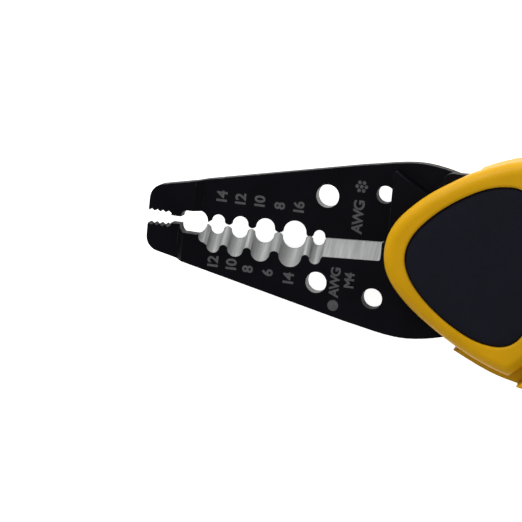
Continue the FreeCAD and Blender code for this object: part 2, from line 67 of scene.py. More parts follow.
MM = 0.001
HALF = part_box("rear_grip")[1].z / 2
REST_OPEN = math.radians(0.8)
BLADE = 3.0 * MM
FRONT = "front_half"
REAR = "rear_half"
MERGE_DISTANCE = 1e-6
SOFT_CREASE = 40

# Places on a blade, in millimetres in its half's own closed frame.
BARE_X = (-47.75, -10.7)
BARE_Y = (-5.95, 1.6)
BARE_TILT = 0.96
LOOP_HOLE = (-23.1, -8.15)
LOOP_WALL = 0.25
LOOP_RADIUS = {FRONT: 2.1, REAR: 2.3}
# The span along the nose where the pale edges are stronger in patches: painted highlight at nicks.
NICK_HIGHLIGHT_X = (-56, -35)

# The thumb pad: half its outline in millimetres, then the dome's rings from the rim inwards. Each has
# its inset or its scale first, and its share of the dome's fall second.
PAD_SINK = 1.4 * MM
PAD_CLEARANCE = 0.02 * MM
PAD_MIDDLE_X = 9.5 * MM
PAD_KNOTS = [
    (-5.3, 0.0), (-4.45, 3.5), (-1.7, 7.28), (2.15, 10.66), (5.95, 13.1), (9.93, 14.9), (12.9, 15.45),
    (15.1, 15.28), (16.82, 14.62), (18.73, 12.62), (20.6, 9.3), (22.04, 5.0), (22.6, 0.0),
]
PAD_RIM = [(0.10 * MM, 0.22), (0.16 * MM, 0.16), (0.28 * MM, 0.12)]
PAD_RINGS = [(0.90, 0.14), (0.86, 0.12), (0.80, 0.10), (0.66, 0.08), (0.40, 0.06)]

# An inlay's rings from the rim inwards: how far each is inset, and its share of the dome's rise.
INLAY_RINGS = (
    (0.10 * MM, 0.22), (0.14 * MM, 0.18), (0.25 * MM, 0.16), (0.40 * MM, 0.14),
    (0.60 * MM, 0.12), (0.90 * MM, 0.10), (1.20 * MM, 0.08),
)

# The spring's closed end turns lie this many wire diameters apart.
CLOSED_TURN = 1.03
WIRE_SIDES = 12
TURN_STEPS = 32

PIVOT_STEEL = (0.42, 0.42, 0.43)
SPRING_STEEL = (0.45, 0.45, 0.47)
SEAT_NYLON = (0.02, 0.02, 0.024)

# Etched marks: each text with its place on the blade, in millimetres in the model's frame.
UPPER_GAUGES = (
    ("14", -44.2, 5.5), ("12", -40.35, 5.45), ("10", -36.4, 5.5), ("8", -32.3, 5.3), ("16", -28.4, 5.35),
)
LOWER_GAUGES = (
    ("12", -44.1, -7.3), ("10", -40.3, -7.4), ("8", -36.9, -7.7), ("6", -32.8, -7.85), ("14", -28.5, -8.6),
)
UPPER_UNIT = (-16.4, 5.2)
STRAND_SIGN = (-16.4, 11.2)
LOWER_UNIT = (-19.15, -7.9)
SOLID_SIGN = (-19.15, -12.6)
THREAD_SIZE = (-16.3, -7.2)
SMALL_TEXT = 0.9
SOLID_DOT = 1.1
STRAND_DOT = 0.37
STRAND_RING = 0.92
MARK_LIFT = 0.012 * MM
BLADE_GAP = 0.02 * MM
CAPITAL_SHARE = 0.72
LETTER_SPACING = 0.86
STROKE_GAIN = 0.045
TEXT_THICKNESS = 0.008 * MM
DOT_THICKNESS = 0.006 * MM

# The stage: each lamp's name, place, size and power, then the camera's place and aim in millimetres
# from the pivot, and the direction that lies to its right.
LAMPS = (
    ("key", (-0.42, 0.70, 0.42), 0.5, 7.5),
    ("fill", (0.75, 0.10, 0.45), 0.6, 1.8),
    ("front", (-0.30, -0.75, 0.40), 0.6, 1.2),
    ("top", (-0.10, 0.10, 1.20), 0.7, 1.6),
)
LAMP_TARGET = (0, 0, 0.01)
SKY_STRENGTH = 0.24
FLOOR_GLOW = 0.8
CAMERA_LENS = 144.8
CAMERA_EYE = (49.95, 67.00, 404.72)
CAMERA_TARGET = (-35.08, -6.26, 0)
CAMERA_RIGHT = (0.97023, 0.09786, -0.22155)


# ---------------------------------------------------------------- sizes and colours


class StripperSizes(bpy.types.PropertyGroup):
    """Sizes that a user would change."""

    pad_crown: bpy.props.FloatProperty(
        name="Pad crown", description="How far the thumb pad's edge lies below its middle",
        default=0.55 * MM, min=0.0, max=1.0 * MM, unit="LENGTH")
    inlay_crown: bpy.props.FloatProperty(
        name="Inlay crown", description="How far a handle inlay's edge lies below its middle",
        default=0.5 * MM, min=0.0, max=0.9 * MM, unit="LENGTH")
    edge_round: bpy.props.FloatProperty(
        name="Soft edge", description="Rounding of the soft parts' edges",
        default=0.35 * MM, min=0.05 * MM, max=0.6 * MM, unit="LENGTH")
    spring_wire: bpy.props.FloatProperty(
        name="Spring wire", description="Diameter of the return spring's wire",
        default=0.9 * MM, min=0.4 * MM, max=1.2 * MM, unit="LENGTH")
    spring_turns: bpy.props.IntProperty(
        name="Spring turns", description="Open turns of the return spring",
        default=6, min=4, max=10)
    digit_height: bpy.props.FloatProperty(
        name="Digit height", description="Height of the wire gauge numbers",
        default=2.1 * MM, min=1.0 * MM, max=3.0 * MM, unit="LENGTH")


class StripperColours(bpy.types.PropertyGroup):
    """Colours that a user would change."""

    oxide: bpy.props.FloatVectorProperty(
        name="Black oxide", description="Colour of the blades' oxide finish", subtype="COLOR",
        size=3, default=(0.0013, 0.0012, 0.0026), min=0.0, max=1.0)
    ground: bpy.props.FloatVectorProperty(
        name="Ground steel", description="Colour of the bare ground bevels", subtype="COLOR",
        size=3, default=(0.30, 0.305, 0.305), min=0.0, max=1.0)
    moulding: bpy.props.FloatVectorProperty(
        name="Handle yellow", description="Colour of the hard moulding", subtype="COLOR",
        size=3, default=(0.64, 0.335, 0.0015), min=0.0, max=1.0)
    soft: bpy.props.FloatVectorProperty(
        name="Soft parts", description="Colour of the soft overmoulded parts", subtype="COLOR",
        size=3, default=(0.0058, 0.0058, 0.0115), min=0.0, max=1.0)
    etched: bpy.props.FloatVectorProperty(
        name="Etched marks", description="Colour of the gauge numbers", subtype="COLOR",
        size=3, default=(0.072, 0.070, 0.076), min=0.0, max=1.0)


# ---------------------------------------------------------------- placing and modelling helpers


def half_matrix(body):
    """From a half's own closed frame, with Z 0 between the blades, to the model's frame at rest."""
    lift = Matrix.Translation((0, 0, HALF))
    if body == FRONT:
        return lift @ Matrix.Rotation(REST_OPEN, 4, "Z")
    return lift @ Matrix.Rotation(-REST_OPEN, 4, "Z") @ Matrix.Rotation(math.pi, 4, "X")


def deselect_all():
    if bpy.context.object and bpy.context.object.mode != "OBJECT":
        bpy.ops.object.mode_set(mode="OBJECT")
    bpy.ops.object.select_all(action="DESELECT")


def make_active(piece):
    deselect_all()
    piece.select_set(True)
    bpy.context.view_layer.objects.active = piece


def settle(piece, matrix):
    """Puts the piece's place into its mesh and leaves the object at the origin."""
    make_active(piece)
    bpy.ops.object.transform_apply(location=True, rotation=True, scale=True)
    piece.data.transform(matrix)
    piece.data.update()


def tidy_mesh(piece):
    """Merges doubles and turns the faces outwards."""
    make_active(piece)
    bpy.ops.object.mode_set(mode="EDIT")
    bpy.ops.mesh.select_all(action="SELECT")
    bpy.ops.mesh.remove_doubles(threshold=MERGE_DISTANCE)
    bpy.ops.mesh.normals_make_consistent(inside=False)
    bpy.ops.object.mode_set(mode="OBJECT")


def smooth_shading(piece, degrees=35):
    make_active(piece)
    bpy.ops.object.shade_smooth_by_angle(angle=math.radians(degrees))


def outline_piece(name, knots, height):
    """A flat face inside a smooth closed curve through the knots, given in millimetres."""
    deselect_all()
    bpy.ops.curve.primitive_bezier_circle_add(location=(0, 0, 0))
    curve = bpy.context.object
    curve.name = name
    spline = curve.data.splines[0]
    spline.bezier_points.add(len(knots) - len(spline.bezier_points))
    for point, (x, y) in zip(spline.bezier_points, knots):
        point.co = (x * MM, y * MM, height)
        point.handle_left_type = "AUTO"
        point.handle_right_type = "AUTO"
    curve.data.dimensions = "2D"
    curve.data.fill_mode = "NONE"
    curve.data.resolution_u = 10
    bpy.ops.object.convert(target="MESH")
    piece = bpy.context.object
    for vertex in piece.data.vertices:
        vertex.co.z = height
    bpy.ops.object.mode_set(mode="EDIT")
    bpy.ops.mesh.select_all(action="SELECT")
    bpy.ops.mesh.remove_doubles(threshold=2 * MERGE_DISTANCE)
    bpy.ops.mesh.edge_face_add()
    bpy.ops.object.mode_set(mode="OBJECT")
    return piece


def join_pieces(pieces, name):
    deselect_all()
    for piece in pieces:
        piece.select_set(True)
    bpy.context.view_layer.objects.active = pieces[0]
    bpy.ops.object.join()
    joined = bpy.context.object
    joined.name = name
    return joined


def copy_of_node(name, node_name):
    """A merged copy of a CAD node's mesh, with its flat faces in one piece each."""
    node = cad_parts[node_name]
    piece = bpy.data.objects.new(name, node.data.copy())
    bpy.context.scene.collection.objects.link(piece)
    make_active(piece)
    bpy.ops.object.mode_set(mode="EDIT")
    bpy.ops.mesh.select_all(action="SELECT")
    bpy.ops.mesh.remove_doubles(threshold=MERGE_DISTANCE)
    bpy.ops.mesh.dissolve_limited(angle_limit=math.radians(0.5))
    bpy.ops.mesh.select_all(action="DESELECT")
    bpy.ops.object.mode_set(mode="OBJECT")
    return piece


def mirrored(knots):
    """The knots and their mirror images below the X axis, as one closed run."""
    return knots + [(x, -y) for x, y in reversed(knots) if y > 0]


def crown(piece, top, fall, rim, rings, middle):
    """Extrudes the outline up and domes it: small insets round the rim, then rings shrunk about the middle.

    rim holds (inset, share of the fall) and rings holds (scale, share of the fall).
    """
    make_active(piece)
    bpy.ops.object.mode_set(mode="EDIT")
    bpy.ops.mesh.select_mode(type="FACE")
    bpy.ops.mesh.select_all(action="SELECT")
    base = piece.data.vertices[0].co.z
    bpy.ops.mesh.extrude_region_move(TRANSFORM_OT_translate={"value": (0, 0, top - fall - base)})
    for inset, share in rim:
        bpy.ops.mesh.inset(thickness=inset, depth=0)
        bpy.ops.transform.translate(value=(0, 0, share * fall))
    for scale, share in rings:
        bpy.ops.mesh.extrude_region_move(TRANSFORM_OT_translate={"value": (0, 0, share * fall)})
        bpy.ops.transform.resize(value=(scale, scale, 1), center_override=middle)
    bpy.ops.object.mode_set(mode="OBJECT")


def finish_piece(piece, body, slot_name, material, *replaced):
    piece.data.materials.clear()
    piece.data.materials.append(material)
    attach(piece, body)
    if replaced:
        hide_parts(*replaced)
    return piece


def paint_node(name, material):
    """Gives a CAD node its finish and leaves its mesh alone."""
    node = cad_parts[name]
    node.data.materials.clear()
    node.data.materials.append(material)


# ---------------------------------------------------------------- materials


class Shader:
    """Small helper that adds nodes to a material and links them."""

    def __init__(self, name):
        self.material = bpy.data.materials.new(name)
        self.material.use_nodes = True
        self.tree = self.material.node_tree
        self.tree.nodes.clear()
        self.output = self.tree.nodes.new("ShaderNodeOutputMaterial")
        self.surface = self.tree.nodes.new("ShaderNodeBsdfPrincipled")
        self.link(self.surface.outputs["BSDF"], self.output.inputs["Surface"])
        self.place = self.tree.nodes.new("ShaderNodeTexCoord").outputs["Object"]

    def link(self, source, target):
        self.tree.links.new(source, target)

    def put(self, value, target):
        if isinstance(value, bpy.types.NodeSocket):
            self.link(value, target)
        else:
            target.default_value = value

    def maths(self, operation, first, second=0.0, clamp=False):
        node = self.tree.nodes.new("ShaderNodeMath")
        node.operation = operation
        node.use_clamp = clamp
        self.put(first, node.inputs[0])
        self.put(second, node.inputs[1])
        return node.outputs[0]

    def noise(self, scale, detail=4.0, stretch=(1, 1, 1)):
        """Noise with about that many grains to the metre."""
        mapping = self.tree.nodes.new("ShaderNodeMapping")
        mapping.inputs["Scale"].default_value = stretch
        self.link(self.place, mapping.inputs["Vector"])
        node = self.tree.nodes.new("ShaderNodeTexNoise")
        self.link(mapping.outputs["Vector"], node.inputs["Vector"])
        node.inputs["Scale"].default_value = scale
        node.inputs["Detail"].default_value = detail
        return node.outputs["Fac"]

    def ramp(self, factor, low, high, start=0.0, end=1.0):
        """factor taken from the span low..high to start..end, and held there."""
        node = self.tree.nodes.new("ShaderNodeMapRange")
        node.clamp = True
        self.put(factor, node.inputs["Value"])
        node.inputs["From Min"].default_value = low
        node.inputs["From Max"].default_value = high
        node.inputs["To Min"].default_value = start
        node.inputs["To Max"].default_value = end
        return node.outputs["Result"]

    def mix(self, factor, first, second):
        node = self.tree.nodes.new("ShaderNodeMix")
        node.data_type = "RGBA"
        self.put(factor, node.inputs[0])
        for value, target in ((first, node.inputs[6]), (second, node.inputs[7])):
            if not isinstance(value, bpy.types.NodeSocket):
                value = (*value[:3], 1.0)
            self.put(value, target)
        return node.outputs[2]

    def bump(self, height, strength, distance, normal=None):
        node = self.tree.nodes.new("ShaderNodeBump")
        node.inputs["Strength"].default_value = strength
        node.inputs["Distance"].default_value = distance
        self.link(height, node.inputs["Height"])
        if normal is not None:
            self.link(normal, node.inputs["Normal"])
        return node.outputs["Normal"]

    def edges(self, radius):
        """Rounded normal near the edges, and how much it departs from the true one."""
        bevel = self.tree.nodes.new("ShaderNodeBevel")
        bevel.samples = 6
        bevel.inputs["Radius"].default_value = radius
        geometry = self.tree.nodes.new("ShaderNodeNewGeometry")
        dot = self.tree.nodes.new("ShaderNodeVectorMath")
        dot.operation = "DOT_PRODUCT"
        self.link(bevel.outputs["Normal"], dot.inputs[0])
        self.link(geometry.outputs["Normal"], dot.inputs[1])
        return bevel.outputs["Normal"], self.ramp(dot.outputs["Value"], 0.97, 0.72)

    def split(self, vector):
        node = self.tree.nodes.new("ShaderNodeSeparateXYZ")
        self.link(vector, node.inputs[0])
        return node.outputs["X"], node.outputs["Y"], node.outputs["Z"]

    def closed_frame(self, body):
        """Object coordinates turned back into the half's own closed frame."""
        node = self.tree.nodes.new("ShaderNodeMapping")
        node.vector_type = "TEXTURE"
        turn = REST_OPEN if body == FRONT else -REST_OPEN
        node.inputs["Location"].default_value = (0, 0, HALF)
        node.inputs["Rotation"].default_value = (0 if body == FRONT else math.pi, 0, turn)
        self.link(self.place, node.inputs["Vector"])
        return node.outputs["Vector"]


def moulded_plastic(name, colour):
    """Hard semi-gloss moulding: faint orange-peel, slight tone change, paler edges that are partly wear and
    partly painted highlight.
    """
    s = Shader(name)
    rounded, edge = s.edges(0.9 * MM)
    tone = s.noise(60, 3)
    grain = s.noise(2600, 3)
    # Edges painted a paler yellow: partly wear, partly painted highlight along the rounded rims.
    worn_and_edge_highlight = s.maths("MULTIPLY", edge, s.ramp(s.noise(420, 4), 0.35, 0.7), clamp=True)
    deep = [value * 0.80 for value in colour]
    body = s.mix(s.ramp(tone, 0.3, 0.7), deep, colour)
    pale = (min(colour[0] * 1.12, 1), min(colour[1] * 1.25, 1), 0.03)
    s.put(s.mix(s.maths("MULTIPLY", worn_and_edge_highlight, 0.30), body, pale), s.surface.inputs["Base Color"])
    s.put(s.ramp(s.noise(900, 4), 0.3, 0.7, 0.36, 0.50), s.surface.inputs["Roughness"])
    height = s.split(s.place)[2]
    from_middle = s.maths("ABSOLUTE", s.maths("SUBTRACT", height, HALF))
    parting = s.ramp(from_middle, 0.05 * MM, 0.16 * MM, 1.0, 0.0)
    relief = s.maths("ADD", s.maths("MULTIPLY", grain, 0.35), parting)
    s.put(s.bump(relief, 0.22, 0.07 * MM, rounded), s.surface.inputs["Normal"])
    s.surface.inputs["IOR"].default_value = 1.48
    s.surface.inputs["Specular IOR Level"].default_value = 0.11
    return s.material


def soft_rubber(name, colour):
    """Matte soft-touch overmould: fine spark-eroded grain and dusty high spots."""
    s = Shader(name)
    rounded, edge = s.edges(0.3 * MM)
    grain = s.noise(3600, 5)
    patch = s.noise(140, 5)
    dusty = [min(value * 2.4 + 0.004, 1) for value in colour]
    mottled = s.mix(s.ramp(patch, 0.35, 0.75, 0.0, 0.10), colour, dusty)
    s.put(s.mix(s.maths("MULTIPLY", edge, 0.5), mottled, dusty), s.surface.inputs["Base Color"])
    s.put(s.ramp(s.noise(700, 4), 0.3, 0.7, 0.58, 0.76), s.surface.inputs["Roughness"])
    s.put(s.bump(grain, 0.30, 0.08 * MM, rounded), s.surface.inputs["Normal"])
    s.surface.inputs["Sheen Weight"].default_value = 0.02
    s.surface.inputs["Sheen Roughness"].default_value = 0.5
    s.surface.inputs["Specular IOR Level"].default_value = 0.09
    return s.material


def blade_steel(name, colours, body):
    """Black-oxide plate whose ground bevels and looping hole are bare steel, with edges painted paler grey:
    partly rubbed wear, partly painted highlight.
    """
    s = Shader(name)
    rounded, edge = s.edges(0.22 * MM)
    x, y, z = s.split(s.closed_frame(body))
    geometry = s.tree.nodes.new("ShaderNodeNewGeometry")
    tilt = s.maths("ABSOLUTE", s.split(geometry.outputs["True Normal"])[2])
    slanted = s.maths("LESS_THAN", tilt, BARE_TILT)
    after_nose = s.maths("GREATER_THAN", x, BARE_X[0] * MM)
    before_hub = s.maths("LESS_THAN", x, BARE_X[1] * MM)
    near_edge = s.maths("GREATER_THAN", y, BARE_Y[0] * MM)
    below_hub = s.maths("LESS_THAN", y, BARE_Y[1] * MM)
    bevel = slanted
    for mask in (after_nose, before_hub, near_edge, below_hub):
        bevel = s.maths("MULTIPLY", bevel, mask)
    dx = s.maths("SUBTRACT", x, LOOP_HOLE[0] * MM)
    dy = s.maths("SUBTRACT", y, LOOP_HOLE[1] * MM)
    from_loop = s.maths("SQRT", s.maths("ADD", s.maths("MULTIPLY", dx, dx), s.maths("MULTIPLY", dy, dy)))
    reach = (LOOP_RADIUS[body] + LOOP_WALL) * MM
    loop = s.maths("MULTIPLY", s.maths("LESS_THAN", from_loop, reach), slanted)
    bare = s.maths("MAXIMUM", bevel, loop)

    tone = s.ramp(s.noise(90, 5), 0.3, 0.72)
    cloudy = [value * 1.7 + 0.001 for value in colours.oxide]
    oxide = s.mix(tone, colours.oxide, cloudy)
    # Edges painted a paler, partly metallic grey: partly rubbed oxide, partly painted highlight along the
    # edges.
    rub_and_edge_highlight = s.maths("MULTIPLY", edge, s.ramp(s.noise(520, 4), 0.40, 0.68), clamp=True)
    # Along the nose the paler edges get stronger in patches: painted highlight where nicks catch the light.
    along_nose = s.maths("MULTIPLY", s.maths("GREATER_THAN", x, NICK_HIGHLIGHT_X[0] * MM),
                         s.maths("LESS_THAN", x, NICK_HIGHLIGHT_X[1] * MM))
    nick_highlight = s.maths("MULTIPLY", along_nose, s.ramp(s.noise(260, 3), 0.48, 0.60))
    rub_and_edge_highlight = s.maths("MULTIPLY", rub_and_edge_highlight, s.maths("ADD", 0.30, s.maths("MULTIPLY", nick_highlight, 1.3)), clamp=True)
    oxide = s.mix(rub_and_edge_highlight, oxide, (0.20, 0.20, 0.205))
    streak = s.ramp(s.noise(1500, 4, (1.6, 0.10, 0.10)), 0.25, 0.75)
    dull = [value * 0.74 for value in colours.ground]
    steel = s.mix(streak, dull, colours.ground)
    s.put(s.mix(bare, oxide, steel), s.surface.inputs["Base Color"])
    s.put(s.maths("MAXIMUM", s.maths("MULTIPLY", bare, 0.42), s.maths("MULTIPLY", rub_and_edge_highlight, 0.5)),
          s.surface.inputs["Metallic"])
    rough_oxide = s.ramp(s.noise(1200, 5), 0.3, 0.7, 0.40, 0.56)
    rough_steel = s.ramp(streak, 0.0, 1.0, 0.62, 0.50)
    both = s.maths("ADD", s.maths("MULTIPLY", bare, rough_steel),
                   s.maths("MULTIPLY", s.maths("SUBTRACT", 1.0, bare), rough_oxide))
    s.put(both, s.surface.inputs["Roughness"])
    texture = s.maths("ADD", s.maths("MULTIPLY", bare, s.maths("MULTIPLY", streak, 1.6)), s.noise(2400, 4))
    s.put(s.bump(texture, 0.16, 0.03 * MM, rounded), s.surface.inputs["Normal"])
    s.surface.inputs["Specular IOR Level"].default_value = 0.055
    return s.material


def bright_steel(name, colour, rough, grain):
    """Turned or drawn steel with fine lines and oily patches."""
    s = Shader(name)
    rounded, edge = s.edges(0.15 * MM)
    lines = s.ramp(s.noise(grain, 4, (1, 1, 6)), 0.3, 0.7)
    dull = [value * 0.6 for value in colour]
    s.put(s.mix(lines, dull, colour), s.surface.inputs["Base Color"])
    s.surface.inputs["Metallic"].default_value = 0.95
    s.put(s.ramp(s.noise(600, 3), 0.3, 0.7, rough, rough + 0.15), s.surface.inputs["Roughness"])
    s.put(s.bump(lines, 0.10, 0.03 * MM, rounded), s.surface.inputs["Normal"])
    return s.material


def etched_mark(name, colour):
    """Laser-etched grey: slightly uneven in tone."""
    s = Shader(name)
    fade = s.ramp(s.noise(1400, 4), 0.3, 0.75)
    s.put(s.mix(fade, [value * 0.6 for value in colour], colour), s.surface.inputs["Base Color"])
    s.put(s.ramp(s.noise(3000, 2), 0.3, 0.7, 0.6, 0.8), s.surface.inputs["Roughness"])
    s.put(s.bump(s.noise(5000, 3), 0.2, 0.02 * MM), s.surface.inputs["Normal"])
    return s.material


# ---------------------------------------------------------------- operators


class WS_OT_blades(bpy.types.Operator):
    """Finish both blades: black oxide, bare ground bevels, edges painted paler as rub wear and painted
    highlight
    """

    bl_idname = "wire_stripper.blades"
    bl_label = "Finish the blades"

    def execute(self, context):
        colours = context.scene.stripper_colours
        paint_node("front_blade", blade_steel("front_blade_steel", colours, FRONT))
        paint_node("rear_blade", blade_steel("rear_blade_steel", colours, REAR))
        return {"FINISHED"}


class WS_OT_grips(bpy.types.Operator):
    """Finish the two hard yellow mouldings"""

    bl_idname = "wire_stripper.grips"
    bl_label = "Finish the grips"

    def execute(self, context):
        yellow = moulded_plastic("handle_yellow", context.scene.stripper_colours.moulding)
        for name in ("front_grip", "rear_grip"):
            paint_node(name, yellow)
        return {"FINISHED"}


class WS_OT_thumb_pads(bpy.types.Operator):
    """Model the domed soft pads over the pivot, front and back"""

    bl_idname = "wire_stripper.thumb_pads"
    bl_label = "Model the thumb pads"

    def execute(self, context):
        sizes = context.scene.stripper_sizes
        rubber = soft_rubber("thumb_pad_rubber", context.scene.stripper_colours.soft)
        for name, body, node in (
            ("thumb_pad_front", FRONT, "front_thumb_pad"),
            ("thumb_pad_rear", REAR, "rear_thumb_pad"),
        ):
            pad = outline_piece(name, mirrored(PAD_KNOTS), HALF - PAD_SINK + PAD_CLEARANCE)
            crown(pad, HALF, sizes.pad_crown, PAD_RIM, PAD_RINGS, (PAD_MIDDLE_X, 0, HALF))
            tidy_mesh(pad)
            smooth_shading(pad, SOFT_CREASE)
            settle(pad, half_matrix(body))
            finish_piece(pad, body, "soft_overmould", rubber, node)
        return {"FINISHED"}


class WS_OT_hardware(bpy.types.Operator):
    """Finish the pivot, washers, nut and spring seats"""

    bl_idname = "wire_stripper.hardware"
    bl_label = "Finish the pivot hardware"

    def execute(self, context):
        steel = bright_steel("pivot_steel_turned", PIVOT_STEEL, 0.28, 1800)
        for name in ("pivot_bolt", "pivot_washer", "spring_washer", "pivot_nut"):
            paint_node(name, steel)
        seats = soft_rubber("seat_nylon", SEAT_NYLON)
        for name in ("upper_spring_seat", "lower_spring_seat"):
            paint_node(name, seats)
        return {"FINISHED"}


class WS_OT_inlays(bpy.types.Operator):
    """Dome the long soft inlays on the handles' faces"""

    bl_idname = "wire_stripper.inlays"
    bl_label = "Model the inlays"

    def execute(self, context):
        sizes = context.scene.stripper_sizes
        rubber = soft_rubber("handle_inlay_rubber", context.scene.stripper_colours.soft)
        for node, body, side in (
            ("upper_front_inlay", FRONT, 1), ("upper_back_inlay", FRONT, -1),
            ("lower_front_inlay", REAR, 1), ("lower_back_inlay", REAR, -1),
        ):
            inlay = copy_of_node("soft_" + node, node)
            for face in inlay.data.polygons:
                face.select = face.normal.z * side > 0.9
            bpy.ops.object.mode_set(mode="EDIT")
            bpy.ops.mesh.select_mode(type="FACE")
            bpy.ops.transform.translate(value=(0, 0, -side * sizes.inlay_crown))
            low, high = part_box(node)
            middle, half = (low + high) / 2, (high - low) / 2
            for inset, share in INLAY_RINGS:
                rise = (0, 0, side * share * sizes.inlay_crown)
                bpy.ops.mesh.extrude_region_move(TRANSFORM_OT_translate={"value": rise})
                shrink = (1 - inset / half.x, 1 - inset / half.y, 1)
                bpy.ops.transform.resize(value=shrink, center_override=middle)
                half -= Vector((inset, inset, 0))
            bpy.ops.object.mode_set(mode="OBJECT")
            tidy_mesh(inlay)
            smooth_shading(inlay, SOFT_CREASE)
            finish_piece(inlay, body, "soft_overmould", rubber, node)
        return {"FINISHED"}


class WS_OT_palm_strips(bpy.types.Operator):
    """Round the edges of the soft strips let into the handles' outer edges"""

    bl_idname = "wire_stripper.palm_strips"
    bl_label = "Model the palm strips"

    def execute(self, context):
        sizes = context.scene.stripper_sizes
        rubber = soft_rubber("palm_strip_rubber", context.scene.stripper_colours.soft)
        for node, body in (("upper_palm_strip", FRONT), ("lower_palm_strip", REAR)):
            strip = copy_of_node("soft_" + node, node)
            rounding = strip.modifiers.new("rounding", "BEVEL")
            rounding.width = sizes.edge_round
            rounding.segments = 3
            rounding.limit_method = "ANGLE"
            rounding.angle_limit = math.radians(50)
            bpy.ops.object.modifier_apply(modifier="rounding")
            tidy_mesh(strip)
            smooth_shading(strip, SOFT_CREASE)
            finish_piece(strip, body, "soft_overmould", rubber, node)
        return {"FINISHED"}


def coil(name, radius, wire, turns, pitch, start):
    """Whole turns of round wire about Z from the height start, still open at both ends."""
    deselect_all()
    bpy.ops.mesh.primitive_circle_add(
        vertices=WIRE_SIDES, radius=wire / 2, location=(radius, 0, start), rotation=(math.pi / 2, 0, 0))
    piece = bpy.context.object
    piece.name = name
    bpy.ops.object.transform_apply(location=True, rotation=True, scale=True)
    screw = piece.modifiers.new("turns", "SCREW")
    screw.axis = "Z"
    screw.angle = 2 * math.pi
    screw.screw_offset = pitch
    screw.iterations = turns
    screw.steps = TURN_STEPS
    screw.render_steps = TURN_STEPS
    bpy.ops.object.modifier_apply(modifier="turns")
    return piece


class WS_OT_return_spring(bpy.types.Operator):
    """Wind the return spring with a closed turn at each end"""

    bl_idname = "wire_stripper.return_spring"
    bl_label = "Wind the return spring"

    def execute(self, context):
        sizes = context.scene.stripper_sizes
        low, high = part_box("return_spring")
        middle = (low + high) / 2
        wire = sizes.spring_wire
        radius = (high.x - low.x - wire) / 2
        length = high.y - low.y - wire
        closed = wire * CLOSED_TURN
        pitch = (length - 2 * closed) / sizes.spring_turns
        spans = ((1, closed, 0.0), (sizes.spring_turns, pitch, closed), (1, closed, length - closed))
        coils = [coil("spring_%d" % i, radius, wire, *span) for i, span in enumerate(spans)]
        spring = join_pieces(coils, "wound_return_spring")
        bpy.ops.object.mode_set(mode="EDIT")
        bpy.ops.mesh.select_all(action="SELECT")
        bpy.ops.mesh.remove_doubles(threshold=0.01 * MM)
        bpy.ops.mesh.select_all(action="DESELECT")
        bpy.ops.mesh.select_mode(type="EDGE")
        bpy.ops.mesh.select_non_manifold()
        bpy.ops.mesh.edge_face_add()
        bpy.ops.object.mode_set(mode="OBJECT")
        tidy_mesh(spring)
        smooth_shading(spring, 60)
        lay = Matrix.Translation(middle) @ Matrix.Rotation(-math.pi / 2, 4, "X")
        settle(spring, lay @ Matrix.Translation((0, 0, -length / 2)))
        spring.data.materials.clear()
        spring.data.materials.append(bright_steel("spring_steel_drawn", SPRING_STEEL, 0.25, 2500))
        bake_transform(spring)
        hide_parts("return_spring")
        return {"FINISHED"}


def text_mark(name, text, height, place, lift):
    """One number or unit, read from the tool's right, as a thin flat mesh."""
    deselect_all()
    bpy.ops.object.text_add(location=(0, 0, 0))
    label = bpy.context.object
    label.name = name
    label.data.body = text
    label.data.size = height / CAPITAL_SHARE
    label.data.space_character = LETTER_SPACING
    label.data.align_x = "CENTER"
    label.data.align_y = "CENTER"
    label.data.offset = STROKE_GAIN * height
    label.data.extrude = TEXT_THICKNESS
    label.data.resolution_u = 4
    bpy.ops.object.convert(target="MESH")
    label = bpy.context.object
    label.data.transform(Matrix.Rotation(math.pi / 2, 4, "Z"))
    label.data.transform(Matrix.Translation((place[0] * MM, place[1] * MM, lift)))
    return label


def dot_mark(name, radius, place, lift):
    """One etched dot."""
    deselect_all()
    bpy.ops.mesh.primitive_circle_add(
        vertices=20, radius=radius * MM, fill_type="NGON", location=(place[0] * MM, place[1] * MM, lift))
    dot = bpy.context.object
    dot.name = name
    bpy.ops.object.mode_set(mode="EDIT")
    bpy.ops.mesh.select_all(action="SELECT")
    bpy.ops.mesh.extrude_region_move(TRANSFORM_OT_translate={"value": (0, 0, -DOT_THICKNESS)})
    bpy.ops.mesh.select_all(action="SELECT")
    bpy.ops.mesh.normals_make_consistent(inside=False)
    bpy.ops.object.mode_set(mode="OBJECT")
    bpy.ops.object.transform_apply(location=True, rotation=True, scale=True)
    return dot


def strand_marks(place, lift):
    """Seven dots in a ring and its middle: the sign for stranded wire."""
    spots = [place]
    for i in range(6):
        angle = math.radians(60 * i)
        spots.append((place[0] + STRAND_RING * math.cos(angle), place[1] + STRAND_RING * math.sin(angle)))
    return [dot_mark("strand_%d" % i, STRAND_DOT, spot, lift) for i, spot in enumerate(spots)]


